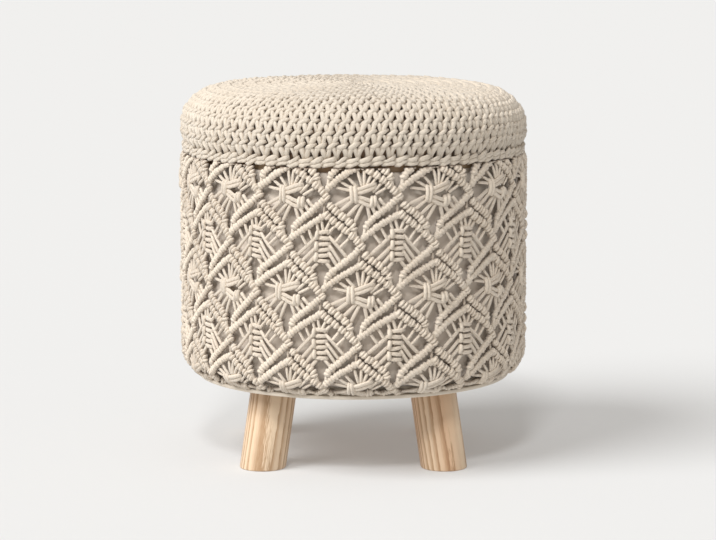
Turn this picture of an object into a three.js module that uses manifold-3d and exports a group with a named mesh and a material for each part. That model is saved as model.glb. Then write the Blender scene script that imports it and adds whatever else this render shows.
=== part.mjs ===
// A storage pouf: a round calico-covered drum on four splayed pine legs, in a macrame sleeve,
// under a padded lid with a crocheted cover. Millimetres, +Z up, the feet stand on z = 0.
import * as THREE from "three";
import { mergeVertices } from "three/addons/utils/BufferGeometryUtils.js";
import Module from "manifold-3d";

const wasm = await Module();
wasm.setup();

// Clearance between two pieces that touch
const GAP = 0.3;
// Points nearer to each other than this are one point
const SAME_POINT = 1e-3;
const TURN_STEPS = 48;

// Drum: a thin wall round a base board, its lower corner rounded
const DRUM_RADIUS = 181;
const DRUM_INNER = 176;
const DRUM_TOP = 333.5;
const DRUM_BOTTOM = 101.5;
const CORNER = { radius: 4, cuts: 2 };
const BASE_THICKNESS = 12;

// Legs, leaning out along the diagonals
const LEG = { radius: 25, bevel: 1.5, footReach: 138, lean: 0.204, steps: 20 };

// Macrame sleeve: sixteen cells to a row, with rows of sun cells and of leaf cells in turn
const CELLS = 16;
const ROWS = 5;
const ROW_DROP = 50.7;
const FIRST_ROW = 304;
const FIRST_CELL_TURN = THREE.MathUtils.degToRad(1.5);
const CROSS_RISE = 3;
const SLEEVE_RADIUS = 182.2;
const SLEEVE_MIDDLE = 186;
const SLEEVE_TOP = DRUM_TOP - GAP;
const SLEEVE_FOOT = 97;
const EDGE_CORD = { width: 4, out: 4.5 };
const CELL_WIDTH = (2 * Math.PI * SLEEVE_MIDDLE) / CELLS;
// Below this height the cords lie ever flatter, down to this share at the sleeve's foot
const FLATTENING = { height: 114, share: 0.45 };
// How far each piece of the sleeve is sunk below the plane at which its back is cut off
const SUNK = 0.4;

// Hem band under the sleeve's lower edge
const HEM = { inner: 164, step: 175, outer: 185.5, foot: 180, bottom: 91.8 };

// Lid: a board with a plug that enters the drum, and a padded crocheted cover over it
const PLUG = { radius: 174.2, depth: 10 };
const FLANGE = { radius: 182.5, thickness: 4.7 };
const SKIRT = { inner: 183.2, bottom: 335.6 };
const CROCHET = { roundWidth: 14.6, relief: 2.6 };
// The cover's outer line from its lower edge to the middle of its top
const COVER_LINE = [
  { radius: 186.8, height: SKIRT.bottom },
  { radius: 189, height: 344 },
  { radius: 191.4, height: 354 },
  { radius: 191.8, height: 365 },
  { radius: 190.6, height: 377 },
  { radius: 186, height: 388 },
  { radius: 177, height: 395.5 },
  { radius: 163, height: 399.4 },
  { radius: 135, height: 401 },
  { radius: 75, height: 401.8 },
  { radius: 0, height: 402 },
];

function cloth(color, roughness = 0.95) {
  return new THREE.MeshStandardMaterial({ color, roughness, metalness: 0 });
}

const calico = cloth(0xe9e4d8);
const cottonCord = cloth(0xd9ccb6);
const crochetCord = cloth(0xdccfbc);
const bindingTape = cloth(0xe6dcc6, 0.9);
const pine = new THREE.MeshStandardMaterial({ color: 0xd2a878, roughness: 0.6, metalness: 0 });
const plywood = new THREE.MeshStandardMaterial({ color: 0xc9a985, roughness: 0.8, metalness: 0 });

const pouf = new THREE.Group();

function add(name, geometry, material) {
  const mesh = new THREE.Mesh(geometry, material);
  mesh.name = name;
  pouf.add(mesh);
}

// A piece turned on the Z axis, from its outline as [radius, height] pairs
function turned(outline, steps = TURN_STEPS) {
  const points = outline.map(([radius, height]) => new THREE.Vector2(radius, height));
  return new THREE.LatheGeometry(points, steps).rotateX(Math.PI / 2);
}

// The same for a ring, whose outline closes on itself
function turnedRing(outline) {
  return turned([...outline, outline[0]]);
}

// Drum wall
const cornerArc = [];
for (let i = CORNER.cuts; i >= 0; i -= 1) {
  const angle = (Math.PI * i) / (2 * CORNER.cuts);
  cornerArc.push([
    DRUM_RADIUS - CORNER.radius * (1 - Math.cos(angle)),
    DRUM_BOTTOM + CORNER.radius * (1 - Math.sin(angle)),
  ]);
}
add(
  "drum_wall",
  turnedRing([[DRUM_INNER, DRUM_TOP], [DRUM_INNER, DRUM_BOTTOM], ...cornerArc, [DRUM_RADIUS, DRUM_TOP]]),
  calico,
);

// Base board inside the wall
add(
  "base_board",
  turned([
    [0, DRUM_BOTTOM],
    [DRUM_INNER - GAP, DRUM_BOTTOM],
    [DRUM_INNER - GAP, DRUM_BOTTOM + BASE_THICKNESS],
    [0, DRUM_BOTTOM + BASE_THICKNESS],
  ]),
  plywood,
);

// Legs: round, leaning outwards, and cut level at both ends
const legTop = DRUM_BOTTOM - GAP;
const legLean = new THREE.Matrix4().makeShear(0, 0, 0, 0, -LEG.lean, 0);
["leg_front_right", "leg_back_right", "leg_back_left", "leg_front_left"].forEach((name, quarter) => {
  const geometry = turned([
    [0, 0],
    [LEG.radius - LEG.bevel, 0],
    [LEG.radius, LEG.bevel],
    [LEG.radius, legTop],
    [0, legTop],
  ], LEG.steps);
  geometry.applyMatrix4(legLean).translate(LEG.footReach, 0, 0);
  geometry.rotateZ(((quarter - 0.5) * Math.PI) / 2);
  add(name, geometry, pine);
});

// Hem band
const hemTop = SLEEVE_FOOT - GAP;
add(
  "hem_band",
  turnedRing([
    [HEM.inner, DRUM_BOTTOM - GAP],
    [HEM.inner, HEM.bottom],
    [HEM.foot, HEM.bottom],
    [HEM.outer, hemTop],
    [HEM.step, hemTop],
    [HEM.step, DRUM_BOTTOM - GAP],
  ]),
  bindingTape,
);

// The sleeve is laid out flat first: x runs round the drum, y up it, and z out from it. Half a cell
// of every row is joined in the flat, trimmed to a strip with a flat back, and then bent round the
// drum thirty-two times, every second time mirrored.
function toSolid(geometry) {
  geometry.deleteAttribute("normal");
  geometry.deleteAttribute("uv");
  const merged = mergeVertices(geometry, SAME_POINT);
  return new wasm.Manifold(new wasm.Mesh({
    numProp: 3,
    vertProperties: new Float32Array(merged.attributes.position.array),
    triVerts: new Uint32Array(merged.index.array),
  }));
}

// A double bar of hitches crosses the whole sleeve on the slant, as one ridge
const BAR = { width: 17.2, out: 6.8 };

function doubleBar(x, side) {
  const across = (side * ROWS * CELL_WIDTH) / 2;
  const down = ROWS * ROW_DROP;
  const length = 2 * Math.hypot(across, down);
  const geometry = new THREE.CylinderGeometry(BAR.width / 2, BAR.width / 2, length, 4);
  geometry.scale(1, 1, (2 * BAR.out) / BAR.width);
  geometry.rotateZ(Math.atan2(across, down));
  return geometry.translate(x, FIRST_ROW + CROSS_RISE, -SUNK);
}

// A group of cords side by side, from a knot out to a bar, as one ridge that widens
function fan({ from, to, near, far, out }) {
  const start = new THREE.Vector2(...from);
  const way = new THREE.Vector2(...to).sub(start);
  const geometry = new THREE.CylinderGeometry(far / 2, near / 2, way.length(), 4);
  geometry.scale(1, 1, (2 * out) / far);
  geometry.rotateZ(way.angle() - Math.PI / 2);
  return geometry.translate(start.x + way.x / 2, start.y + way.y / 2, 0);
}

// Sun cell: a wrapped knot with cords that spread up and down from it
const SUN_KNOT = { width: 22, height: 18, out: 7.8 };
const SUN_FANS = [
  { from: [0, 0], to: [0, 31], near: 14, far: 30, out: 5 },
  { from: [0, 0], to: [0, -24], near: 16, far: 44, out: 5 },
];

function sunCell() {
  const knot = new THREE.OctahedronGeometry(1).rotateZ(Math.PI / 4);
  knot.scale(SUN_KNOT.width * Math.SQRT1_2, SUN_KNOT.height * Math.SQRT1_2, SUN_KNOT.out);
  return [knot, ...SUN_FANS.map(fan)];
}

// Leaf cell: a flat plait of square knots down its middle, with cords that leave it on both sides
const PLAIT = { width: 15, top: 36, bottom: -14, knots: 3, waist: 0.78, out: 7 };
const LEAF_FANS = [
  { from: [-2, 8], to: [-23, -14], near: 8, far: 18, out: 4.8 },
  { from: [2, 8], to: [23, -14], near: 8, far: 18, out: 4.8 },
];

function leafCell() {
  const radius = PLAIT.width / 2;
  const step = (PLAIT.top - PLAIT.bottom) / (2 * PLAIT.knots);
  const outline = [new THREE.Vector2(0, PLAIT.bottom)];
  for (let i = 0; i <= 2 * PLAIT.knots; i += 1) {
    outline.push(new THREE.Vector2(radius * (i % 2 ? 1 : PLAIT.waist), PLAIT.bottom + i * step));
  }
  outline.push(new THREE.Vector2(0, PLAIT.top));
  const plait = new THREE.LatheGeometry(outline, 4, Math.PI / 4);
  plait.scale(Math.SQRT2, 1, (Math.SQRT2 * PLAIT.out) / radius);
  return [plait, ...LEAF_FANS.map(fan)];
}

const STRIP_WIDTH = CELL_WIDTH / 2;

function sleeveStrip() {
  const edgeCord = new THREE.BoxGeometry(CELL_WIDTH, EDGE_CORD.width, 2 * EDGE_CORD.out);
  const pieces = [edgeCord.translate(STRIP_WIDTH / 2, SLEEVE_TOP - EDGE_CORD.width / 2, 0)];
  for (let turn = -ROWS; turn <= ROWS; turn += 1) {
    pieces.push(...[-1, 1].map((side) => doubleBar((turn + 0.5) * CELL_WIDTH, side)));
  }
  for (let row = 0; row < ROWS; row += 1) {
    const isSun = row % 2 === 0;
    const cell = isSun ? sunCell() : leafCell();
    if (row === ROWS - 1) cell.pop();
    const x = isSun ? 0 : STRIP_WIDTH;
    pieces.push(...cell.map((piece) => piece.translate(x, FIRST_ROW - row * ROW_DROP, -SUNK)));
  }
  const height = SLEEVE_TOP - SLEEVE_FOOT;
  const room = new THREE.BoxGeometry(STRIP_WIDTH, height, 2 * BAR.width);
  room.translate(STRIP_WIDTH / 2, SLEEVE_FOOT + height / 2, BAR.width);
  const solid = pieces.map(toSolid).reduce((sum, piece) => sum.add(piece)).intersect(toSolid(room));
  const { vertProperties, triVerts } = solid.getMesh();
  const points = [];
  for (let i = 0; i < vertProperties.length; i += 3) {
    points.push(new THREE.Vector3().fromArray(vertProperties, i));
  }
  const faces = [];
  for (let i = 0; i < triVerts.length; i += 3) faces.push([...triVerts.slice(i, i + 3)]);
  return { points, faces };
}

// A point of the flat sleeve in its place round the drum
function wrapOnDrum(x, y, z) {
  const angle = FIRST_CELL_TURN + x / SLEEVE_MIDDLE;
  const low = Math.max(0, (FLATTENING.height - y) / (FLATTENING.height - SLEEVE_FOOT));
  const radius = SLEEVE_RADIUS + z * (1 - low * (1 - FLATTENING.share));
  return [radius * Math.sin(angle), -radius * Math.cos(angle), y];
}

// The strip and its mirror image in turn, all round the drum. Two neighbours share the points where
// they meet, which belong to the one that isn't mirrored, and have no faces there.
function ringOfStrips({ points, faces }) {
  const isOn = (i, x) => Math.abs(points[i].x - x) < SAME_POINT;
  const open = faces.filter((face) => (
    ![0, STRIP_WIDTH].some((x) => face.every((i) => isOn(i, x)))
  ));
  const strips = 2 * CELLS;
  const place = [];
  const index = [];
  for (let strip = 0; strip < strips; strip += 1) {
    const mirrored = strip % 2 === 1;
    const turn = Math.ceil(strip / 2) * CELL_WIDTH;
    points.forEach(({ x, y, z }) => place.push(...wrapOnDrum(turn + (mirrored ? -x : x), y, z)));
    const owner = (i) => {
      if (mirrored && isOn(i, 0)) return (strip + 1) % strips;
      return mirrored && isOn(i, STRIP_WIDTH) ? strip - 1 : strip;
    };
    open.forEach((face) => {
      const corners = mirrored ? [...face].reverse() : face;
      index.push(...corners.map((i) => owner(i) * points.length + i));
    });
  }
  const geometry = new THREE.BufferGeometry();
  geometry.setAttribute("position", new THREE.Float32BufferAttribute(place, 3));
  geometry.setIndex(index);
  return geometry;
}

add("macrame_sleeve", ringOfStrips(sleeveStrip()), cottonCord);

// Lid board
const flangeBottom = DRUM_TOP + GAP;
const flangeTop = flangeBottom + FLANGE.thickness;
add(
  "lid_board",
  turned([
    [0, flangeBottom - PLUG.depth],
    [PLUG.radius, flangeBottom - PLUG.depth],
    [PLUG.radius, flangeBottom],
    [FLANGE.radius, flangeBottom],
    [FLANGE.radius, flangeTop],
    [0, flangeTop],
  ]),
  plywood,
);

// Lid cover: padded, with a ridge for each crocheted round and a hollow between two of them
const coverLine = new THREE.SplineCurve(
  COVER_LINE.map(({ radius, height }) => new THREE.Vector2(radius, height)),
);
const rounds = Math.round(coverLine.getLength() / CROCHET.roundWidth);
const coverOutline = coverLine.getSpacedPoints(2 * rounds).map((point, i) => {
  if (i % 2 === 0) return [point.x, point.y];
  const along = coverLine.getTangentAt(i / (2 * rounds));
  return [point.x - CROCHET.relief * along.y, point.y + CROCHET.relief * along.x];
});
add(
  "lid_cover",
  turned([
    [0, flangeTop + GAP],
    [SKIRT.inner, flangeTop + GAP],
    [SKIRT.inner, SKIRT.bottom],
    ...coverOutline,
  ]),
  crochetCord,
);

export default pouf;
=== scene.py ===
# %% [markdown]
# A round storage pouf: a calico-covered drum on pine legs, in a sleeve of knotted cotton cord, under a
# padded lid with a crocheted cover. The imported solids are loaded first, because they say where
# everything is. Each solid is then replaced by finer pieces in the same place.

# %% Load the solids
import math
import random

import bmesh
import bpy
import numpy as np
from mathutils import Matrix, Vector


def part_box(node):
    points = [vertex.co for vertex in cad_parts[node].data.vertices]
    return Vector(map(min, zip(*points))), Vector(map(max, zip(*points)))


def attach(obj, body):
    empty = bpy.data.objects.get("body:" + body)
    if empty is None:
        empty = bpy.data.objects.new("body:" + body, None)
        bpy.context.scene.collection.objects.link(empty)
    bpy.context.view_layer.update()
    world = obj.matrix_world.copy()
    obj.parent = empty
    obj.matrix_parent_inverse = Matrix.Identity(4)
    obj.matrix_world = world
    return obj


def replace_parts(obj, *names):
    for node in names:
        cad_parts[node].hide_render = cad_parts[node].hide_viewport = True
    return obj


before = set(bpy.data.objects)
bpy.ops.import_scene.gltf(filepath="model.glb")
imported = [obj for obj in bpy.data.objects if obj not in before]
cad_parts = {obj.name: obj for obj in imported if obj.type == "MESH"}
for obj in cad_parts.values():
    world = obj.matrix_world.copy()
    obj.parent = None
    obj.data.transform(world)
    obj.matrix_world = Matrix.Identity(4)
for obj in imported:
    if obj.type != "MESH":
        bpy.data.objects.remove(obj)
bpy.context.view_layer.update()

MM = 0.001

# %% [markdown]
# The camera comes first, so that every piece can be judged from the photograph's side. It stands far
# back with a long lens and looks slightly down, which is why the lid's top shows as a thin ellipse.

# %% Camera
VIEW_DISTANCE = 3.1
VIEW_ELEVATION = math.radians(8.4)
VIEW_TARGET = Vector((0.005, 0, 0.2))
VIEW_LENS = 141.5
SENSOR_WIDTH = 36


def add_object(name, data):
    """A new object in the scene, at the origin."""
    made = bpy.data.objects.new(name, data)
    bpy.context.scene.collection.objects.link(made)
    return made


camera_data = bpy.data.cameras.new("camera")
camera_data.lens = VIEW_LENS
camera_data.sensor_width = SENSOR_WIDTH
camera = add_object("camera", camera_data)
backwards = Vector((0, -math.cos(VIEW_ELEVATION), math.sin(VIEW_ELEVATION)))
camera.location = VIEW_TARGET + VIEW_DISTANCE * backwards
camera.rotation_euler = (-backwards).to_track_quat("-Z", "Y").to_euler()
bpy.context.scene.camera = camera
print("camera at", tuple(camera.location))

# %% [markdown]
# A broad key light comes from the upper left, and a weaker one from above the camera. An even light from
# all round, like that of pale walls, keeps the cords light on the far side while the gaps between them
# stay dark. Both lamps are suns, which light the floor evenly near and far, so the floor and the
# background become one tone.

# %% Studio
LIGHTS = [
    {"name": "key", "turn": -58, "height": 44, "softness": 36, "strength": 2.9},
    {"name": "front", "turn": -8, "height": 48, "softness": 9, "strength": 0.95},
]
ROOM = {"color": (1.0, 0.935, 0.865, 1), "strength": 0.4}


def add_light(name, turn, height, softness, strength):
    """A sun lamp: turn is to the right of the camera, and all its angles are in degrees."""
    data = bpy.data.lights.new(name, "SUN")
    data.energy = strength
    data.angle = math.radians(softness)
    turn, height = math.radians(turn), math.radians(height)
    level = math.cos(height)
    towards = Vector((math.sin(turn) * level, -math.cos(turn) * level, math.sin(height)))
    light = add_object(name, data)
    light.rotation_euler = towards.to_track_quat("Z", "Y").to_euler()


for row in LIGHTS:
    add_light(**row)
world = bpy.data.worlds.new("studio")
world.use_nodes = True
room_light = world.node_tree.nodes["Background"]
room_light.inputs["Color"].default_value = ROOM["color"]
room_light.inputs["Strength"].default_value = ROOM["strength"]
bpy.context.scene.world = world
bpy.context.scene.view_settings.view_transform = "Standard"
print("lights:", [row["name"] for row in LIGHTS])

# %% [markdown]
# Finishes. Two effects serve several materials, so each is a node group: yarn, with its fibres and
# twist, and woven cloth. The yarn reads values that are stored on the points of every cord. Two say how
# far along it and how far round it a point is, so the twist follows the cord wherever it goes. The third
# says how much painted shade a point gets, by how deep between the knots it lies. There the yarn is
# tinted brown: painted shade, for the dim light that gets there after going from cord to cord.

# %% Helpers for node groups
def new_group(name, inputs, outputs):
    """A node group with named sockets, and the two nodes where they come in and go out."""
    group = bpy.data.node_groups.new(name, "ShaderNodeTree")
    for label, kind, value in inputs:
        socket = group.interface.new_socket(label, in_out="INPUT", socket_type=kind)
        socket.default_value = value
    for label, kind in outputs:
        group.interface.new_socket(label, in_out="OUTPUT", socket_type=kind)
    return group, group.nodes.new("NodeGroupInput"), group.nodes.new("NodeGroupOutput")


def node(tree, kind, values=(), **settings):
    """A new node: settings are its own options, and values go into its sockets."""
    made = tree.nodes.new(kind)
    for key, value in settings.items():
        setattr(made, key, value)
    for key, value in dict(values).items():
        made.inputs[key].default_value = value
    return made


def calculate(tree, operation, first, second=None, third=None):
    """One Math node, fed by sockets or by plain numbers."""
    made = node(tree, "ShaderNodeMath", operation=operation)
    for slot, value in zip(made.inputs, (first, second, third)):
        if isinstance(value, bpy.types.NodeSocket):
            tree.links.new(value, slot)
        elif value is not None:
            slot.default_value = value
    return made.outputs[0]


def mix_colors(tree, factor, first, second):
    made = node(tree, "ShaderNodeMix", data_type="RGBA")
    colors = [socket for socket in made.inputs if socket.type == "RGBA"]
    tree.links.new(factor, made.inputs["Factor"])
    for socket, value in zip(colors, (first, second)):
        tree.links.new(value, socket)
    return next(socket for socket in made.outputs if socket.type == "RGBA")


# %% Yarn group
COLOR = "NodeSocketColor"
FLOAT = "NodeSocketFloat"
FIBRES = {"Scale": 900, "Detail": 3, "Roughness": 0.7}
PATCHES = {"Scale": 26, "Detail": 2}
PLY_HEIGHT = 0.6
FIBRE_HEIGHT = 0.8
SHADE_LEVEL = 1.15


def make_yarn_group():
    """Twisted yarn: Shade tints it in patches, and a brown of painted shade tints it where it lies deep.
    """
    group, given, result = new_group(
        "yarn",
        [("Color", COLOR, (1, 1, 1, 1)), ("Shade", COLOR, (0.5, 0.5, 0.5, 1)),
         ("Deep", COLOR, (0.2, 0.2, 0.2, 1)), ("Twist", FLOAT, 0.25), ("Strands", FLOAT, 3)],
        [("Color", COLOR), ("Height", FLOAT)],
    )
    along = node(group, "ShaderNodeAttribute", attribute_name="along").outputs["Fac"]
    around = node(group, "ShaderNodeAttribute", attribute_name="around").outputs["Fac"]
    # The brown tint where the cords lie deep is painted shade.
    painted_shade = node(group, "ShaderNodeAttribute", attribute_name="painted_shade").outputs["Fac"]
    place = node(group, "ShaderNodeTexCoord").outputs["Object"]
    turns = calculate(group, "ADD", calculate(group, "MULTIPLY", around, given.outputs["Strands"]),
                      calculate(group, "MULTIPLY", along, given.outputs["Twist"]))
    ply = calculate(group, "SINE", calculate(group, "MULTIPLY", turns, 2 * math.pi))
    ply = calculate(group, "MULTIPLY_ADD", ply, 0.5, 0.5)
    fibres = node(group, "ShaderNodeTexNoise", FIBRES)
    patches = node(group, "ShaderNodeTexNoise", PATCHES)
    group.links.new(place, fibres.inputs["Vector"])
    group.links.new(place, patches.inputs["Vector"])
    height = calculate(group, "ADD", calculate(group, "MULTIPLY", ply, PLY_HEIGHT),
                       calculate(group, "MULTIPLY", fibres.outputs["Fac"], FIBRE_HEIGHT))
    shade = calculate(group, "SUBTRACT", SHADE_LEVEL, fibres.outputs["Fac"])
    shade = calculate(group, "MULTIPLY", shade, patches.outputs["Fac"])
    surface = mix_colors(group, shade, given.outputs["Color"], given.outputs["Shade"])
    group.links.new(mix_colors(group, painted_shade, surface, given.outputs["Deep"]), result.inputs["Color"])
    group.links.new(height, result.inputs["Height"])
    return group


yarn_group = make_yarn_group()
print("node group:", yarn_group.name)


# %% Weave group
SLUBS = {"Scale": 60, "Detail": 4}
THREAD_RELIEF = 0.25


def make_weave_group():
    """Plain cloth, whose threads run round the pouf and upwards."""
    group, given, result = new_group(
        "weave",
        [("Color", COLOR, (1, 1, 1, 1)), ("Shade", COLOR, (0.5, 0.5, 0.5, 1)), ("Threads", FLOAT, 900),
         ("Girth", FLOAT, 0.18)],
        [("Color", COLOR), ("Height", FLOAT)],
    )
    place = node(group, "ShaderNodeTexCoord").outputs["Object"]
    split = node(group, "ShaderNodeSeparateXYZ")
    group.links.new(place, split.inputs[0])
    angle = calculate(group, "ARCTAN2", split.outputs["Y"], split.outputs["X"])
    across = calculate(group, "MULTIPLY", calculate(group, "MULTIPLY", angle, given.outputs["Girth"]),
                       given.outputs["Threads"])
    upwards = calculate(group, "MULTIPLY", split.outputs["Z"], given.outputs["Threads"])
    warp = calculate(group, "SINE", calculate(group, "MULTIPLY", across, 2 * math.pi))
    weft = calculate(group, "SINE", calculate(group, "MULTIPLY", upwards, 2 * math.pi))
    slubs = node(group, "ShaderNodeTexNoise", SLUBS)
    group.links.new(place, slubs.inputs["Vector"])
    threads = calculate(group, "MULTIPLY", warp, weft)
    threads = calculate(group, "MULTIPLY_ADD", threads, THREAD_RELIEF, 0.5)
    group.links.new(calculate(group, "ADD", threads, slubs.outputs["Fac"]), result.inputs["Height"])
    group.links.new(mix_colors(group, slubs.outputs["Fac"], given.outputs["Color"],
                               given.outputs["Shade"]), result.inputs["Color"])
    return group


weave_group = make_weave_group()
print("node group:", weave_group.name)


# %% Cloth and cord materials
CLOTH = {"roughness": 0.9, "sheen": 0.25}


def new_material(name, roughness, sheen=0.0):
    """A material, with its node tree and its shader."""
    material = bpy.data.materials.new(name)
    material.use_nodes = True
    shader = material.node_tree.nodes["Principled BSDF"]
    shader.inputs["Roughness"].default_value = roughness
    shader.inputs["Sheen Weight"].default_value = sheen
    return material, material.node_tree, shader


def add_bump(tree, shader, height, depth, strength=0.6):
    bump = node(tree, "ShaderNodeBump", {"Strength": strength, "Distance": depth})
    tree.links.new(height, bump.inputs["Height"])
    tree.links.new(bump.outputs["Normal"], shader.inputs["Normal"])


def soft_material(name, group, color, shade, depth, **values):
    """A material from one of the groups: depth is that of its bumps, and values are the group's own."""
    material, tree, shader = new_material(name, **CLOTH)
    used = node(tree, "ShaderNodeGroup", node_tree=group)
    used.inputs["Color"].default_value = (*color, 1)
    used.inputs["Shade"].default_value = (*shade, 1)
    for key, value in values.items():
        used.inputs[key].default_value = value
    tree.links.new(used.outputs["Color"], shader.inputs["Base Color"])
    add_bump(tree, shader, used.outputs["Height"], depth)
    return material


# Each yarn's darkest colour is painted shade, for where it lies deep between the knots.
cotton = soft_material("knotted_cotton", yarn_group, color=(0.785, 0.7, 0.595),
                       shade=(0.6, 0.495, 0.38), depth=0.0009, Deep=(0.15, 0.09, 0.055, 1))
crochet_yarn = soft_material("crocheted_cotton", yarn_group, color=(0.725, 0.655, 0.56),
                             shade=(0.59, 0.495, 0.385), depth=0.0009, Deep=(0.26, 0.175, 0.115, 1),
                             Twist=0.16)
calico = soft_material("plain_calico", weave_group, color=(0.75, 0.67, 0.58),
                       shade=(0.61, 0.52, 0.43), depth=0.0002)
tape = soft_material("cotton_tape", weave_group, color=(0.74, 0.67, 0.57),
                     shade=(0.64, 0.56, 0.46), depth=0.0003, Threads=500)
print("cloth materials:", [m.name for m in (cotton, crochet_yarn, calico, tape)])


# %% [markdown]
# A pine trunk grows in rings, each pale at first and dark where it ends. A leg is turned from wood beside
# the middle of the trunk, so the rings show as stripes, close together on some sides of it and wide on
# others. Every point keeps its place in the trunk as an attribute called grain, and the rings read that.

# %% Wood materials
WOOD_COAT = 0.1
ALONG_TRUNK = (1, 1, 0.06)
WANDER = {"Scale": 34, "Detail": 3}
PORES = {"Scale": 1300, "Detail": 2}
HEART = {"Scale": 42, "Detail": 2}
HEARTWOOD = (0.86, 0.68, 0.56, 1)
HEART_SPREAD = 2.6
HEART_LEVEL = -1.15
RING = {"wander": 2.6, "start": 0.22, "pores": 0.5, "pale_until": 0.3, "dark_at": 0.88}
PORE_BUMP = {"depth": 0.0002, "strength": 0.3}


def warm_tint(tree, color):
    """The same colour as it looks in the redder heart of the trunk."""
    made = node(tree, "ShaderNodeMix", data_type="RGBA", blend_type="MULTIPLY")
    colors = [socket for socket in made.inputs if socket.type == "RGBA"]
    made.inputs["Factor"].default_value = 1
    tree.links.new(color, colors[0])
    colors[1].default_value = HEARTWOOD
    return next(socket for socket in made.outputs if socket.type == "RGBA")


def wood_material(name, pale, dark, ring_width, roughness):
    """Wood with growth rings of a given width, pale at first and dark where each ends."""
    material, tree, shader = new_material(name, roughness)
    shader.inputs["Coat Weight"].default_value = WOOD_COAT
    place = node(tree, "ShaderNodeAttribute", attribute_name="grain").outputs["Vector"]
    stretch = node(tree, "ShaderNodeMapping", {"Scale": ALONG_TRUNK})
    tree.links.new(place, stretch.inputs["Vector"])
    wander = node(tree, "ShaderNodeTexNoise", WANDER)
    pores = node(tree, "ShaderNodeTexNoise", PORES)
    heart = node(tree, "ShaderNodeTexNoise", HEART)
    for texture in (wander, pores, heart):
        tree.links.new(stretch.outputs["Vector"], texture.inputs["Vector"])
    split = node(tree, "ShaderNodeSeparateXYZ")
    tree.links.new(place, split.inputs[0])
    across = calculate(tree, "POWER", split.outputs["X"], 2)
    across = calculate(tree, "ADD", across, calculate(tree, "POWER", split.outputs["Y"], 2))
    rings = calculate(tree, "DIVIDE", calculate(tree, "SQRT", across), ring_width)
    shift = calculate(tree, "MULTIPLY", wander.outputs["Fac"], RING["wander"])
    rings = calculate(tree, "FRACT", calculate(tree, "ADD", rings, shift))
    grown = calculate(tree, "SUBTRACT", rings, RING["start"])
    grown = calculate(tree, "MULTIPLY_ADD", pores.outputs["Fac"], RING["pores"], grown)
    ramp = node(tree, "ShaderNodeValToRGB")
    ramp.color_ramp.elements[0].position = RING["pale_until"]
    ramp.color_ramp.elements[0].color = (*pale, 1)
    ramp.color_ramp.elements[1].position = RING["dark_at"]
    ramp.color_ramp.elements[1].color = (*dark, 1)
    fresh = ramp.color_ramp.elements.new(1.0)
    fresh.color = (*pale, 1)
    tree.links.new(grown, ramp.inputs["Fac"])
    reddish = calculate(tree, "MULTIPLY_ADD", heart.outputs["Fac"], HEART_SPREAD, HEART_LEVEL)
    tinted = mix_colors(tree, reddish, ramp.outputs["Color"], warm_tint(tree, ramp.outputs["Color"]))
    tree.links.new(tinted, shader.inputs["Base Color"])
    add_bump(tree, shader, pores.outputs["Fac"], **PORE_BUMP)
    return material


pine = wood_material("turned_pine", pale=(0.78, 0.605, 0.425), dark=(0.44, 0.27, 0.145),
                     ring_width=0.0046, roughness=0.5)
plywood = wood_material("bare_plywood", pale=(0.45, 0.32, 0.2), dark=(0.34, 0.22, 0.13),
                        ring_width=0.009, roughness=0.7)
print("wood materials:", pine.name, plywood.name)


# %% [markdown]
# Most of this pouf is cord, so one helper makes a cord: a ring of points is created at each step along
# its path, and neighbouring rings are bridged. The end rings are filled, so every cord is closed.

# %% Helpers for cords
CORD_SIDES = 8


def cord(bm, path, radius):
    """A closed round cord through the points of a path, in millimetres."""
    along = bm.verts.layers.float.get("along") or bm.verts.layers.float.new("along")
    around = bm.verts.layers.float.get("around") or bm.verts.layers.float.new("around")
    points = [Vector(point) for point in path]
    turn = (points[1] - points[0]).to_track_quat("Z", "Y")
    length = 0
    rings = []
    for i, point in enumerate(points):
        ahead = points[min(i + 1, len(points) - 1)] - points[max(i - 1, 0)]
        turn = (turn @ Vector((0, 0, 1))).rotation_difference(ahead) @ turn
        length += (point - points[max(i - 1, 0)]).length
        is_end = i in (0, len(points) - 1)
        ring = bmesh.ops.create_circle(bm, cap_ends=is_end, segments=CORD_SIDES, radius=radius,
                                       matrix=Matrix.Translation(point) @ turn.to_matrix().to_4x4())
        for step, vert in enumerate(ring["verts"]):
            vert[along] = length
            vert[around] = step / CORD_SIDES
        rings.append(ring["verts"])
    for near, far in zip(rings, rings[1:]):
        edges = {edge for ring in (near, far) for vert in ring for edge in vert.link_edges
                 if edge.other_vert(vert) in ring}
        bmesh.ops.bridge_loops(bm, edges=list(edges))


def bowed(start, end, rise, steps=4):
    """Points from start to end that rise in the middle like a bow."""
    start, end = Vector(start), Vector(end)
    return [start.lerp(end, i / steps) + Vector((0, 0, rise * math.sin(math.pi * i / steps)))
            for i in range(steps + 1)]


ARCH_FLATNESS = 0.7


def arch(centre, across, half, low, high, steps=4):
    """Points of a loop that comes up at one side of its centre and goes down at the other."""
    points = []
    for i in range(steps + 1):
        angle = math.pi * i / steps
        aside = math.copysign(abs(math.cos(angle))**ARCH_FLATNESS, math.cos(angle))
        rise = abs(math.sin(angle))**ARCH_FLATNESS
        points.append(Vector((*centre, low)) + Vector((*(across * half * aside), (high - low) * rise)))
    return points


def mesh_from(bm, name):
    bmesh.ops.recalc_face_normals(bm, faces=bm.faces)
    mesh = bpy.data.meshes.new(name)
    bm.to_mesh(mesh)
    bm.free()
    return mesh


# %% [markdown]
# The sleeve is knotted flat before it goes round a drum, and it is made flat here too: across, up and
# out, in millimetres. Its lines are rows of double half hitches, where each cord is wound twice round a
# holding cord. So a line is a core with a pair of short arches over it at every knot.

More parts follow.
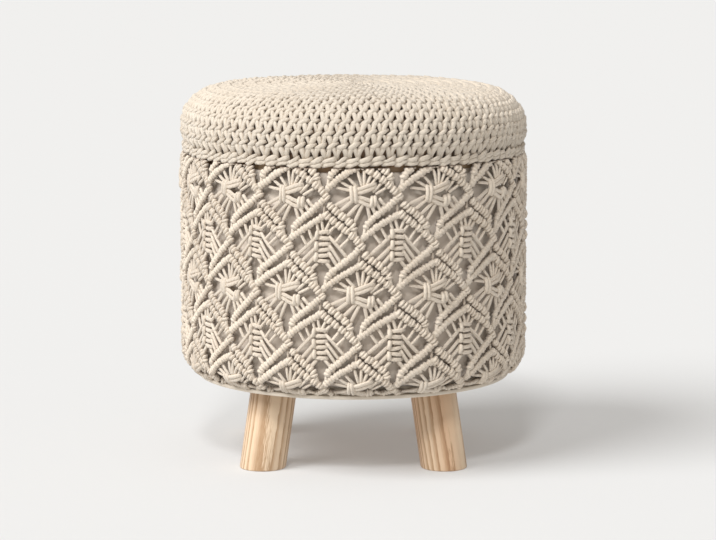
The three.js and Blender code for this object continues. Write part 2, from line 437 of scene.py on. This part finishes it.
# %% Hitched bars
CORD_RADIUS = 2.1
LOW_POINT = 1.6
RISING = {"pitch": 7.6, "step": 3.2, "half": 2.3, "high": 5.0, "core": 2.8, "girth": 1.95}
FALLING = {"pitch": 8.0, "step": 3.1, "half": 3.0, "high": 5.5, "core": 2.2, "girth": 1.75}
CORE_OUT = 3.0
UNEVEN_TURN = 0.12
UNEVEN_PLACE = 0.4
UNEVEN_GIRTH = 0.11


def hitched_bar(bm, path, chance):
    """A line of hitches along a path of (across, up) points."""
    points = [Vector(point) for point in path]
    way = points[-1] - points[0]
    kind = RISING if way.x * way.y > 0 else FALLING
    cord(bm, [(*point, CORE_OUT) for point in points], kind["core"])
    lengths = [(b - a).length for a, b in zip(points, points[1:])]
    total = sum(lengths)
    count = max(1, round(total / kind["pitch"]))
    for knot in range(count):
        for loop in (-0.5, 0.5):
            at = (knot + 0.5) * total / count + loop * kind["step"]
            i = 0
            while i < len(lengths) - 1 and at > lengths[i]:
                at -= lengths[i]
                i += 1
            way = (points[i + 1] - points[i]).normalized()
            shift = Vector((chance.uniform(-1, 1), chance.uniform(-1, 1))) * UNEVEN_PLACE
            across = Vector((-way.y, way.x)) + way * chance.uniform(-1, 1) * UNEVEN_TURN
            high = kind["high"] + chance.uniform(-1, 1) * UNEVEN_PLACE
            girth = kind["girth"] * (1 + chance.uniform(-1, 1) * UNEVEN_GIRTH)
            place = points[i] + way * at + shift
            cord(bm, arch(place, across.normalized(), kind["half"], LOW_POINT, high), girth)


print("hitches are", RISING["pitch"], "mm apart on rising lines and", FALLING["pitch"], "on falling ones")


# %% [markdown]
# Two cells take turns in the sleeve. Each is a diamond: bars open it from its top knot, cross those of
# the next cell at its sides, and close it towards a slit below. Inside is either a wrapped knot with
# cords that spread like rays, or a plait of square knots with slanting cords like the ribs of a leaf.

# %% The diamond round each cell
CELLS = 16
CELL_HEIGHT = 50.7
SLEEVE_RADIUS = 190
CELL_WIDTH = 2 * math.pi * SLEEVE_RADIUS / CELLS
RAY_RADIUS = 1.6
OPENING = {
    "left": [(3, 33), (-4, 29.5), (-10, 26), (-17, 21.5), (-24, 16.5), (-31, 11), (-35, 7.5)],
    "right": [(1, 35), (5, 31), (10, 27), (17, 21.5), (24, 16.5), (31, 10.5), (37.6, 3.6), (42, -3)],
}
CLOSING = {
    "left": [(-32.4, -6), (-25.8, -13), (-18.8, -18.5), (-12.6, -23.5), (-7.4, -29), (-6, -34)],
    "right": [(37.6, -1.6), (31.6, -7.2), (25.4, -12.4), (18.8, -17.8), (12.6, -23.2), (7.4, -28.6),
              (6, -33)],
}
SLIT_EDGE = [(5.8, -30, 3.2), (5.2, -36, 3.2), (3.4, -43, 3), (1.4, -49, 2.6)]
JOINING = [(0.4, 43, 1.4), (0.6, 38, 1.8), (0.8, 33, 1.6)]


def opening_bars(bm, chance):
    for path in OPENING.values():
        hitched_bar(bm, path, chance)
    cord(bm, JOINING, RAY_RADIUS)


def closing_bars(bm, chance):
    for path in CLOSING.values():
        hitched_bar(bm, path, chance)
    for side in (-1, 1):
        cord(bm, [(side * x, y, z) for x, y, z in SLIT_EDGE], CORD_RADIUS)


print("a cell is", round(CELL_WIDTH, 1), "mm wide and", CELL_HEIGHT, "mm high")


# %% Sun cell
RAY_REACH = 5.5
RAY_TUCK = 2
RAY_BOW = 0.7
RAY_OUT = {"outer": 2.4, "inner": 3.2}
LOWER_RAY_RADIUS = 1.9
WRAP_STEPS = 6
SUN_RAYS = [
    (-18.8, 8.3, -8.8, 6.7), (-14.6, 13.3, -8, 9.2), (-8, 16.7, -3, 10.8), (-0.4, 21.7, 2, 10.8),
    (4.6, 22, 4, 11), (10.4, 20.8, 6.3, 11.7), (13.8, 15.8, 9.6, 10.8), (19.6, 11.7, 13.8, 5.8),
    (23.8, 7.5, 17, 3.3), (-22, -6.7, -9.6, 0), (-17, -11.7, -8.8, -4.2), (-11.3, -17.5, -1.3, -6.7),
    (-4.6, -21.7, 2, -8.3), (9.6, -20, 7, -10), (15.4, -16.7, 12, -11), (21.3, -14, 18, -9),
    (26.3, -10, 20.4, -3.3),
]
SUN_BUNDLES = [
    [(-6, 7, 3.6), (0, 8.4, 5.2), (7, 11, 5.4), (12, 12.6, 4.6), (16, 13, 2.6)],
    [(-6, 4, 3.8), (0, 4.4, 5.4), (7, 6.6, 5.6), (12, 8.8, 4.6), (16, 10.6, 2.6)],
    [(-6, 1, 3.6), (0, -0.4, 5.2), (6, -3, 5.4), (12, -5, 4.6), (18, -6.6, 2.8)],
    [(-6, -1.6, 3.4), (-1, -4.2, 5), (5, -7.8, 5.2), (10, -9.6, 4.4), (15, -10, 2.6)],
]
SUN_WRAPS = [
    {"centre": (-8.2, 3), "half": 7.6, "high": 6.2}, {"centre": (-4.6, 2.6), "half": 8, "high": 6.5},
    {"centre": (11.4, -5.4), "half": 4.6, "high": 6.2}, {"centre": (15, -4.4), "half": 4.2, "high": 5.8},
]


def rays(bm, table, chance):
    """Straight cords, each from its outer end at (x0, y0) to its inner end at (x1, y1)."""
    for x0, y0, x1, y1 in table:
        outer, inner = Vector((x0, y0, RAY_OUT["outer"])), Vector((x1, y1, RAY_OUT["inner"]))
        way = (outer - inner).normalized()
        shift = Vector((chance.uniform(-1, 1), chance.uniform(-1, 1), 0)) * UNEVEN_PLACE
        radius = RAY_RADIUS if y0 > 0 else LOWER_RAY_RADIUS
        cord(bm, bowed(outer + way * RAY_REACH + shift, inner - way * RAY_TUCK, RAY_BOW), radius)


def sun_motif(bm, chance):
    rays(bm, SUN_RAYS, chance)
    for path in SUN_BUNDLES:
        cord(bm, path, CORD_RADIUS)
    for wrap in SUN_WRAPS:
        across = Vector((chance.uniform(-1, 1) * UNEVEN_TURN, 1))
        loop = arch(wrap["centre"], across, wrap["half"], LOW_POINT, wrap["high"], WRAP_STEPS)
        cord(bm, loop, CORD_RADIUS)


print("a sun cell has", len(SUN_RAYS), "rays and", len(SUN_WRAPS), "wraps")


# %% Leaf cell
LEAF_RIBS = [
    (-24.2, -7, -7.6, 9.7), (-19.2, -13.6, -7.6, -1.3), (-14, -17.3, -7, -9), (-11, -24.3, -5, -17.3),
    (24, -8.6, 7.4, 9.7), (17.5, -12.6, 7, 1.7), (14, -17, 7, -6.3), (11, -24, 5, -16.5),
    (-14.2, 15.7, -10, 7.7), (-21, 9.7, -16, 2.7), (17.4, 11.4, 13, 5.4), (24, 7.2, 18, 1),
    (-1, 23.7, 0.8, 16.7), (5.8, 22.7, 3, 16.7), (-6, 21.5, -4, 15), (10, 19, 6, 14.5),
]
PLAIT_BARS = [15.7, 9.4, 3.4, -2.4, -8.2, -13.8]
PLAIT_ENDS = {"left": -4.4, "left_out": 2.8, "right": 8.2, "right_out": 2.4}
PLAIT_TILT = (-1.4, 0.8)
PLAIT_BOW = 2.4
PLAIT_LOOPS = [13, 1.6, -9.6]
PLAIT_LOOP_AT = -5.4
PLAIT_LOOP = {"half": 3.9, "low": 1.8, "high": 6.2}
PLAIT_CORE = [(0.6, 20, 1.2), (0.6, -18, 1.2)]


def leaf_motif(bm, chance):
    rays(bm, LEAF_RIBS, chance)
    for height in PLAIT_BARS:
        tilt, slip = chance.uniform(*PLAIT_TILT), chance.uniform(-1, 1)
        left = (PLAIT_ENDS["left"] + slip, height - tilt, PLAIT_ENDS["left_out"])
        right = (PLAIT_ENDS["right"] + slip, height + tilt, PLAIT_ENDS["right_out"])
        cord(bm, bowed(left, right, PLAIT_BOW), CORD_RADIUS)
    for height in PLAIT_LOOPS:
        across = Vector((chance.uniform(-1, 1) * UNEVEN_TURN, 1))
        cord(bm, arch((PLAIT_LOOP_AT, height), across, **PLAIT_LOOP), CORD_RADIUS)
    cord(bm, PLAIT_CORE, RAY_RADIUS)


print("a leaf cell has", len(LEAF_RIBS), "ribs and", len(PLAIT_BARS), "plaited bars")


# %% [markdown]
# A row holds sixteen cells. Four are made, each a little different as hand work is, and an Array
# modifier repeats them. Then the flat row is bent: round the drum, and at the foot in under its edge. At
# the top the sleeve is pulled in tight against the wall, so its cut ends lie under the rim of the lid.
# Those ends get the full brown tint as well, painted shade that stands for the shadow under the rim.

# %% Place and size of the rows
FIRST_ROW = 303
ROW_DROP = 51.8
TOP_ROW = -1
ROW_COUNT = 6
VARIANTS = 4
SEEDS_A_ROW = 100
TOP_GAP = 0.2
BACK_GAP = 2.0
SLEEVE_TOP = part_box("macrame_sleeve")[1].z / MM - TOP_GAP
BACK_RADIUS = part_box("drum_wall")[1].x / MM + BACK_GAP
PULLED_IN = {"above": 325, "depth": 3.1}
FIRST_TURN = math.radians(1.3)
CURL = {"height": 117.8, "radius": 162, "foot": 77.5, "middle": 4.0}
WIDE_CELLS = {"at": math.radians(65), "spread": math.radians(45), "shift": math.radians(7.5)}
ROW_SLIP = {"turn": 0.018, "drop": 100}
print("the flat rows reach from", CURL["foot"], "to", round(SLEEVE_TOP, 1), "mm")

# %% Cut and repeat a row
CUT_DISTANCE = 1e-4


def trimmed(bm, height, keep_below):
    """Cuts the row level, and fills the cut ends of its cords."""
    normal = (0, 1 if keep_below else -1, 0)
    everything = bm.verts[:] + bm.edges[:] + bm.faces[:]
    cut = bmesh.ops.bisect_plane(bm, geom=everything, dist=CUT_DISTANCE, plane_co=(0, height, 0),
                                 plane_no=normal, clear_outer=True)
    edges = [item for item in cut["geom_cut"] if isinstance(item, bmesh.types.BMEdge)]
    bmesh.ops.holes_fill(bm, edges=edges, sides=0)


def repeated(mesh, count, step):
    """A mesh side by side with copies of itself."""
    source = add_object("repeat", mesh)
    array = source.modifiers.new("array", "ARRAY")
    array.count = count
    array.use_relative_offset = False
    array.use_constant_offset = True
    array.constant_offset_displace = (step, 0, 0)
    evaluated = source.evaluated_get(bpy.context.evaluated_depsgraph_get())
    made = bpy.data.meshes.new_from_object(evaluated)
    bpy.data.objects.remove(source)
    return made


# %% Bend a row round the drum
# How far up from the back of the cords the painted shade reaches, in millimetres.
PAINTED_SHADE_UNDER = 4.0
FADES_FROM = 300


def read_points(mesh):
    flat = np.zeros(len(mesh.vertices) * 3)
    mesh.vertices.foreach_get("co", flat)
    return flat.reshape(-1, 3)


def write_points(mesh, points):
    mesh.vertices.foreach_set("co", points.astype(np.float32).ravel())
    mesh.update()


def store_painted_shade(mesh, out):
    """Stores how much painted shade each point gets, by how deep it lies: 1 at the back of the cords, and
    0 from a few millimetres up.
    """
    layer = mesh.attributes.new("painted_shade", "FLOAT", "POINT")
    layer.data.foreach_set("value", np.clip(1 - out / PAINTED_SHADE_UNDER, 0, 1).astype(np.float32))


def wave(size, count, slant=math.inf, phase=0):
    """Unevenness that goes count times round the pouf, and on by a radian for each slant of height."""
    return lambda turn, up: size * np.sin(count * turn + up / slant + phase)


def round_axis(radius, turn, height):
    """Points in metres from sizes in millimetres: a turn of 0 is the front, and it grows to the right."""
    return np.stack([radius * np.sin(turn), -radius * np.cos(turn), height], axis=1) * MM


row_sway = wave(size=0.0047, count=5, slant=31)
row_shiver = wave(size=0.0026, count=23, slant=-17)
row_sag = wave(size=0.8, count=7, slant=40)
row_flutter = wave(size=0.4, count=29)


def bend_round_drum(points):
    """Takes (across, up, out) points of a flat row round the drum, and in under its foot."""
    across, up, out = points.T
    turn = across * 2 * math.pi / (CELLS * CELL_WIDTH)
    turn = turn + row_sway(turn, up) + row_shiver(turn, up)
    ease = np.interp(up, [FADES_FROM, SLEEVE_TOP], [1, 0])
    up = up + ease * (row_sag(turn, up) + row_flutter(turn, up))
    turn = FIRST_TURN + turn - ROW_SLIP["turn"] * np.clip((FIRST_ROW - up) / ROW_SLIP["drop"], 0, 1)
    from_wide = (turn - WIDE_CELLS["at"] + math.pi) % (2 * math.pi) - math.pi
    turn = turn + WIDE_CELLS["shift"] * np.exp(-(from_wide / WIDE_CELLS["spread"])**2)
    inner = BACK_RADIUS - CURL["radius"]
    curl = np.maximum(0, CURL["height"] - up) / (inner + CURL["middle"])
    pulled = np.clip((up - PULLED_IN["above"]) / (SLEEVE_TOP - PULLED_IN["above"]), 0, 1)
    radius = CURL["radius"] + (inner + out) * np.cos(curl) - PULLED_IN["depth"] * pulled**2
    height = np.where(up < CURL["height"], CURL["height"] - (inner + out) * np.sin(curl), up)
    return round_axis(radius, turn, height)


print("the backs of the cords lie", round(BACK_RADIUS, 1), "mm from the axis")


# %% Rows of the sleeve
CUT_TOLERANCE = 0.1


def add_piece(name, mesh, material, body):
    """A finished piece, which rides on a body and takes its finish from a slot."""
    mesh.name = name
    mesh.materials.clear()
    mesh.materials.append(material)
    mesh.shade_smooth()
    piece = add_object(name, mesh)
    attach(piece, body)
    return piece


def count_triangles(mesh):
    return sum(len(face.vertices) - 2 for face in mesh.polygons)


def sleeve_row(row):
    """One row of cells. Of the top row, which is above the first whole one, only the lower edge shows."""
    is_sun = row % 2 == 0
    joined = bmesh.new()
    for variant in range(VARIANTS):
        chance = random.Random(SEEDS_A_ROW * row + variant)
        bm = bmesh.new()
        if row > TOP_ROW:
            opening_bars(bm, chance)
            (sun_motif if is_sun else leaf_motif)(bm, chance)
        closing_bars(bm, chance)
        x = variant * CELL_WIDTH + (0 if is_sun else CELL_WIDTH / 2)
        bmesh.ops.scale(bm, verts=bm.verts, vec=(1, ROW_DROP / CELL_HEIGHT, 1))
        bmesh.ops.translate(bm, verts=bm.verts, vec=(x, FIRST_ROW - row * ROW_DROP, 0))
        trimmed(bm, SLEEVE_TOP, keep_below=True)
        trimmed(bm, CURL["foot"], keep_below=False)
        cell = mesh_from(bm, "cell")
        joined.from_mesh(cell)
        bpy.data.meshes.remove(cell)
    flat = bpy.data.meshes.new("row")
    joined.to_mesh(flat)
    joined.free()
    mesh = repeated(flat, CELLS // VARIANTS, VARIANTS * CELL_WIDTH)
    points = read_points(mesh)
    # Cut ends get the full painted shade, for the shadow under the lid's rim.
    is_cut_end = points[:, 1] > SLEEVE_TOP - CUT_TOLERANCE
    store_painted_shade(mesh, np.where(is_cut_end, 0, points[:, 2]))
    write_points(mesh, bend_round_drum(points))
    piece = add_piece(f"sleeve_row_{row - TOP_ROW + 1}", mesh, cotton, "drum")
    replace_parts(piece, "macrame_sleeve")
    print(piece.name, count_triangles(mesh), "triangles")


for row in range(TOP_ROW, TOP_ROW + ROW_COUNT):
    sleeve_row(row)


# %% [markdown]
# The hard parts and the plain cloth are turned shapes, so each is an outline that spins about the
# upright axis. A narrow bevel takes the edge off, because no real edge is perfectly sharp.

# %% Helpers for turned pieces
SPIN_STEPS = 128
MERGE_DISTANCE = 1e-6
SHARP_ANGLE = math.radians(40)


def turned(name, outline, bevel=0.0, steps=SPIN_STEPS):
    """A closed outline of (radius, height) points in millimetres, spun about the Z axis."""
    bm = bmesh.new()
    verts = [bm.verts.new((radius * MM, 0, height * MM)) for radius, height in outline]
    is_solid = outline[0][0] == 0
    pairs = list(zip(verts, verts[1:])) + ([] if is_solid else [(verts[-1], verts[0])])
    edges = [bm.edges.new(pair) for pair in pairs]
    bmesh.ops.spin(bm, geom=verts + edges, cent=(0, 0, 0), axis=(0, 0, 1), angle=2 * math.pi,
                   steps=steps, use_merge=True)
    bmesh.ops.remove_doubles(bm, verts=bm.verts, dist=MERGE_DISTANCE)
    bmesh.ops.recalc_face_normals(bm, faces=bm.faces)
    if bevel:
        sharp = [edge for edge in bm.edges if edge.calc_face_angle(0) > SHARP_ANGLE]
        bmesh.ops.bevel(bm, geom=sharp, offset=bevel * MM, segments=2, profile=0.5, affect="EDGES",
                        material=-1)
    grain = bm.verts.layers.float_vector.new("grain")
    for vert in bm.verts:
        vert[grain] = vert.co
    return mesh_from(bm, name)


def move_grain(mesh, shift):
    """Says from which part of the trunk a piece is cut, without moving the piece."""
    for item in mesh.attributes["grain"].data:
        item.vector = item.vector + Vector(shift)


def box_mm(name):
    low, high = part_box(name)
    return low / MM, high / MM


def square_to(line):
    """For each point of a line, the direction square to it, to the right of the way it runs."""
    way = np.gradient(line, axis=0)
    way /= np.hypot(*way.T)[:, None]
    return np.stack([way[:, 1], -way[:, 0]], axis=1)


# %% Drum wall
WALL = {"thickness": 5, "inset": 2.8, "bevel": 0.4}
BARE_EDGE = {"height": 6, "inset": 0.8}
wall_low, wall_high = box_mm("drum_wall")
wall_inner = wall_high.x - WALL["thickness"]
wall_outer = wall_high.x - WALL["inset"]
wall_foot = [(wall_inner, 10), (wall_inner + 0.8, 10), (wall_outer - 0.6, 14), (wall_outer, 18)]
bare_foot = wall_high.z - BARE_EDGE["height"]
bare_radius = wall_outer - BARE_EDGE["inset"]
wall_outline = [(wall_inner, wall_high.z)]
wall_outline += [(radius, wall_low.z + rise) for radius, rise in wall_foot]
wall_outline += [(wall_outer, bare_foot), (bare_radius, bare_foot), (bare_radius, wall_high.z)]
wall_mesh = turned("drum_shell", wall_outline, WALL["bevel"])
shell = add_piece("drum_shell", wall_mesh, calico, "drum")
shell.data.materials.append(plywood)
for face in shell.data.polygons:
    face.material_index = int(face.center.z > bare_foot * MM)
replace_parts(shell, "drum_wall")
print("the drum's wall is", round(wall_outer - wall_inner, 1), "mm thick")

# %% Boards
BOARD_BEVEL = 0.8
BOARD_GRAIN = (2, 0, 0)
BASE_CHAMFER = 8
LID_PANEL = {"plug_radius": 174.2, "plug_depth": 10, "inset": 3}
board_low, board_high = box_mm("base_board")
base = turned("base", [(0, board_low.z), (board_high.x - BASE_CHAMFER, board_low.z),
                       (board_high.x, board_low.z + BASE_CHAMFER), (board_high.x, board_high.z),
                       (0, board_high.z)], BOARD_BEVEL)
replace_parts(add_piece("base_panel", base, plywood, "drum"), "base_board")
lid_low, lid_high = box_mm("lid_board")
plug_edge = LID_PANEL["plug_radius"]
plug_top = lid_low.z + LID_PANEL["plug_depth"]
panel_edge = lid_high.x - LID_PANEL["inset"]
lid_panel = turned("lid_panel", [(0, lid_low.z), (plug_edge, lid_low.z), (plug_edge, plug_top),
                                 (panel_edge, plug_top), (panel_edge, lid_high.z),
                                 (0, lid_high.z)], BOARD_BEVEL)
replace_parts(add_piece("lid_panel", lid_panel, plywood, "lid"), "lid_board")
for board in (base, lid_panel):
    move_grain(board, BOARD_GRAIN)
print("boards:", base.name, lid_panel.name)

# %% Calico wrap and hem band
CALICO = {"thickness": 0.5, "gap": 0.6, "ripple": 0.16, "broad": 13, "narrow": 31}
CLOTH_FOOT = [(-10.4, -0.5), (-7.1, 1.9), (-3.6, 5.7), (-1.3, 10.3), (0, 17)]
cloth_inner = wall_outer + CALICO["gap"]
cloth_line = [(cloth_inner + aside, wall_low.z + rise) for aside, rise in CLOTH_FOOT]
cloth_line = np.array([*cloth_line, (cloth_inner, bare_foot)])
cloth_outer = cloth_line + CALICO["thickness"] * square_to(cloth_line)
cloth = turned("calico_wrap", [*cloth_line[::-1].tolist(), *cloth_outer.tolist()])
points = read_points(cloth)
angles = np.arctan2(points[:, 1], points[:, 0])
ripple = CALICO["ripple"] / cloth_inner * np.sin(CALICO["broad"] * angles)
ripple = 1 + ripple * np.sin(CALICO["narrow"] * angles)
points[:, :2] *= ripple[:, None]
write_points(cloth, points)
wrap = add_piece("calico_wrap", cloth, calico, "drum")
HEM = {"inner": 160, "outer": 171.6, "middle": 166, "top": 91.8, "drop": 4.1, "bevel": 1.1}
hem_low, hem_high = box_mm("hem_band")
hem_foot = hem_low.z - HEM["drop"]
hem = turned("hem_tape", [(HEM["inner"], hem_high.z), (HEM["inner"], hem_foot),
                          (HEM["outer"], hem_foot), (HEM["outer"], HEM["top"]),
                          (HEM["middle"], HEM["top"]), (HEM["middle"], hem_high.z)], HEM["bevel"])
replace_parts(add_piece("hem_tape", hem, tape, "drum"), "hem_band")
print("the hem's foot is", round(hem_foot, 1), "mm above the floor")

# %% [markdown]
# The legs are round and lean outwards. Each is turned upright and then sheared, not tilted, so that it
# is cut level at the floor and under the drum, as on the real thing.

# %% Legs
LEG = {"radius": 25, "reach": 138, "lean": 0.204, "bevel": 1.6, "steps": 48}
FROM_PITH = 0.045
PITH_SIDES = [0, 100, 200, 45]
for quarter, side in enumerate(["front_right", "back_right", "back_left", "front_left"]):
    top = box_mm(f"leg_{side}")[1].z
    leg_outline = [(0, 0), (LEG["radius"], 0), (LEG["radius"], top), (0, top)]
    leg = turned("leg", leg_outline, LEG["bevel"], LEG["steps"])
    shift = Matrix.Translation(Vector((LEG["reach"] * MM, 0, 0)))
    lean = Matrix(((1, 0, -LEG["lean"], 0), (0, 1, 0, 0), (0, 0, 1, 0), (0, 0, 0, 1)))
    leg.transform(Matrix.Rotation((quarter - 0.5) * math.pi / 2, 4, "Z") @ shift @ lean)
    side_angle = math.radians(PITH_SIDES[quarter])
    move_grain(leg, (FROM_PITH * math.cos(side_angle), FROM_PITH * math.sin(side_angle), quarter))
    piece = add_piece(f"pine_{side}", leg, pine, "drum")
    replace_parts(piece, f"leg_{side}")
print("legs stand on", LEG["reach"], "mm")


# %% [markdown]
# The lid is padded and has a crocheted cover. Its outline is a smooth line from the rim up the side,
# over a soft shoulder and in to the middle. Every stitch is placed by its distance along that line, so
# the rounds keep their width over the shoulder as they do in real crochet.

# %% Outline of the lid
cover_low, cover_high = box_mm("lid_cover")
UNDER_RIM = 4
LID_RISE = 72
LINE_STEPS = 24
RIM_POINTS = [
    (5.2, -UNDER_RIM), (4.8, 0), (4.6, 8.4), (2.6, 18.4), (2.2, 28.4), (4.4, 39.4), (9.2, 48.4),
    (16.3, 56.2), (25.8, 62.9), (41.8, 68), (71.8, 70.8), (131.8, LID_RISE),
]
line = [(cover_high.x - inwards, cover_low.z + rise) for inwards, rise in RIM_POINTS]
line.append((0, cover_low.z + LID_RISE))


def smooth_line(points, steps):
    """A Catmull-Rom line through the points, as an array of (radius, height)."""
    p = np.array([points[0], *points, points[-1]], float)
    t = np.linspace(0, 1, steps, endpoint=False)[:, None]
    parts = [0.5 * (2 * b + (c - a) * t + (2 * a - 5 * b + 4 * c - d) * t**2
                    + (3 * b - a - 3 * c + d) * t**3)
             for a, b, c, d in zip(p, p[1:], p[2:], p[3:])]
    return np.concatenate([*parts, p[-1:]])


outline = smooth_line(line, LINE_STEPS)
step_lengths = np.hypot(*np.diff(outline, axis=0).T)
distance = np.concatenate([[0], np.cumsum(step_lengths)])
tangent = np.gradient(outline, distance, axis=0)
tangent /= np.hypot(*tangent.T)[:, None]
LID_LENGTH = distance[-1]
print("the lid's outline is", round(LID_LENGTH), "mm from rim to middle")

# %% Place on the lid
STITCH_DEPTH = 6.9
LOOSE_RIM = {"until": 90, "least": 0.35}
LEAN = {"height": 1.1, "from": 20, "to": 60}
LEAST_RADIUS = 0.2
stitch_stretch = wave(size=0.7, count=43, slant=4)
stitch_pinch = wave(size=0.6, count=71, slant=-6)
stitch_slip = wave(size=0.004, count=57, slant=5)
stitch_bulge = wave(size=0.5, count=37, slant=7)
rim_sway = wave(size=0.8, count=3, phase=1)
rim_ripple = wave(size=0.7, count=8)


def on_lid(points, turn_per_mm, start, along):
    """Places (across, up, out) points on the lid: up runs along its outline from a given distance."""
    across, up, out = points.T
    turn = start + across * turn_per_mm
    s = np.clip(along + up, 0, LID_LENGTH)
    looseness = np.interp(s, [0, LOOSE_RIM["until"]], [1, LOOSE_RIM["least"]])
    s = np.clip(s + looseness * (stitch_stretch(turn, s) + stitch_pinch(turn, s)), 0, LID_LENGTH)
    turn = turn + looseness * stitch_slip(turn, s)
    radius, height = (np.interp(s, distance, outline[:, k]) for k in (0, 1))
    way_r, way_z = (np.interp(s, distance, tangent[:, k]) for k in (0, 1))
    lift = out - STITCH_DEPTH + looseness * stitch_bulge(turn, s)
    radius = np.maximum(radius + lift * way_z, LEAST_RADIUS)
    height = height - lift * way_r
    uneven = looseness * (rim_sway(turn, s) + rim_ripple(turn, s))
    leaning = np.interp(s, [LEAN["from"], LEAN["to"]], [0, 1])
    uneven -= LEAN["height"] * leaning * np.sin(turn) * radius / outline[0, 0]
    return round_axis(radius, turn, height + uneven)


print("a lean lifts the left of the lid by up to", LEAN["height"], "mm")


# %% Crocheted stitches
ROUND_WIDTH = 13.7
ROUND_SHIFT = 0.618
STITCH = {"pitch": 11.3, "girth": 2.6, "cords": [
    [(-4.5, -8.2, 0.8), (-4.3, -3.8, 2.6), (-2.7, 0.8, 3.8), (-0.2, 4.6, 3.2)],
    [(4.3, -8.2, 0.8), (4.0, -3.8, 2.4), (2.7, 0.6, 3.4), (0.7, 4.4, 2.6)],
    [(-5.4, 1.8, 1.2), (-2.2, 3.9, 4.2), (2.2, 6.6, 4.4), (5.6, 8.6, 1.6)],
]}
RIM_STITCH = {"pitch": 13, "girth": 2.4, "cords": [
    [(-7, 4.6, 2.4), (-2.5, 5.6, 5.0), (2.5, 7.4, 5.2), (7, 9.0, 2.4)],
    [(-7.4, 0.8, 2.0), (-2.5, 1.4, 4.6), (2.5, 3.0, 4.8), (7.4, 4.6, 2.0)],
]}
RIM_ALONG = 2.0
STITCH_VARIANTS = 4
UNEVEN_STITCH = Vector((0.6, 0.5, 0.35))
UNEVEN_CORD = 0.25


def stitch_mesh(stitch, seed):
    """A few stitches side by side, each a little different."""
    bm = bmesh.new()
    for variant in range(STITCH_VARIANTS):
        chance = random.Random(seed * STITCH_VARIANTS + variant)
        place = Vector([chance.uniform(-1, 1) * most for most in UNEVEN_STITCH])
        place.x += variant * stitch["pitch"]
        for path in stitch["cords"]:
            shift = place + Vector([chance.uniform(-1, 1) * UNEVEN_CORD for _ in range(3)])
            girth = stitch["girth"] * (1 + chance.uniform(-1, 1) * UNEVEN_GIRTH)
            cord(bm, [Vector(point) + shift for point in path], girth)
    return mesh_from(bm, "stitch")


def crocheted_round(joined, stitch, along, number):
    """Adds one round of stitches, as many as fit its girth."""
    radius = np.interp(along, distance, outline[:, 0])
    sets = max(1, round(2 * math.pi * radius / (stitch["pitch"] * STITCH_VARIANTS)))
    count = sets * STITCH_VARIANTS
    start = number * ROUND_SHIFT % 1 * 2 * math.pi / count
    tiled = repeated(stitch_mesh(stitch, number), sets, stitch["pitch"] * STITCH_VARIANTS)
    points = read_points(tiled)
    # Painted shade on the stitches, darker where they lie deep.
    store_painted_shade(tiled, points[:, 2])
    write_points(tiled, on_lid(points, 2 * math.pi / (count * stitch["pitch"]), start, along))
    joined.from_mesh(tiled)
    bpy.data.meshes.remove(tiled)
    return count


def crochet_piece(name, alongs, with_rim):
    joined = bmesh.new()
    stitches = 0
    if with_rim:
        stitches += crocheted_round(joined, RIM_STITCH, RIM_ALONG, 0)
    for number, along in alongs:
        stitches += crocheted_round(joined, STITCH, along, number)
    mesh = bpy.data.meshes.new(name)
    joined.to_mesh(mesh)
    joined.free()
    piece = add_piece(name, mesh, crochet_yarn, "lid")
    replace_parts(piece, "lid_cover")
    print(name, stitches, "stitches,", count_triangles(mesh), "triangles")


# %% Rounds of the lid
ABOVE_RIM = 14.4
FIRST_ROUND = UNDER_RIM + ABOVE_RIM
CLOSING_RING = 9.4
SIDE_ROUNDS = 5
rounds = [(number, FIRST_ROUND + number * ROUND_WIDTH)
          for number in range(int((LID_LENGTH - FIRST_ROUND) // ROUND_WIDTH))]
rounds.append((len(rounds), LID_LENGTH - CLOSING_RING))
crochet_piece("lid_crochet_side", rounds[:SIDE_ROUNDS], True)
crochet_piece("lid_crochet_top", rounds[SIDE_ROUNDS:], False)

# %% [markdown]
# Under the stitches lies the padded body of the lid. It shows only as the ground between them, painted
# dark brown all over as the shade there, and closes the cover underneath. It sits a little more than a
# stitch's depth inside the outline.

# %% Padded body of the lid
PAD_INSET = 7.4
PAD_STEP = 6
PAD_GAP = 0.3
LEAST_RISE = 1
INNERMOST = 3
normal = np.stack([tangent[:, 1], -tangent[:, 0]], axis=1)
inner = (outline - PAD_INSET * normal)[::PAD_STEP]
pad_floor = lid_high.z + PAD_GAP
inner = inner[(inner[:, 0] > INNERMOST) & (inner[:, 1] > pad_floor + LEAST_RISE)]
pad_outline = [(0, pad_floor), (float(inner[0, 0]), pad_floor)]
pad_outline += [(float(radius), float(height)) for radius, height in inner]
pad_outline.append((0, float(outline[-1, 1] - PAD_INSET)))
pad_mesh = turned("lid_pad", pad_outline)
# The whole pad gets the full painted shade, which darkens the ground between the stitches.
store_painted_shade(pad_mesh, np.zeros(len(pad_mesh.vertices)))
pad = add_piece("lid_pad", pad_mesh, crochet_yarn, "lid")
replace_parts(pad, "lid_cover")
print("lid pad", len(pad.data.vertices), "points")

# %% [markdown]
# The floor is one pale sheet, so wide that it fills the background too: the camera looks down at it
# everywhere in the picture. It glows a little, as a backdrop with a light of its own. The floor isn't
# part of the pouf.

# %% Floor
FLOOR_SIZE = 60
PAPER = {
    "Base Color": (0.54, 0.548, 0.552, 1), "Specular IOR Level": 0.1,
    "Emission Color": (1, 0.985, 0.965, 1), "Emission Strength": 0.2,
}
paper, _, paper_shader = new_material("paper", roughness=0.95)
for socket, value in PAPER.items():
    paper_shader.inputs[socket].default_value = value
bm = bmesh.new()
bmesh.ops.create_grid(bm, x_segments=1, y_segments=1, size=FLOOR_SIZE / 2)
floor_mesh = mesh_from(bm, "floor")
floor_mesh.materials.append(paper)
floor = add_object("floor", floor_mesh)
print("the floor is", FLOOR_SIZE, "m wide")
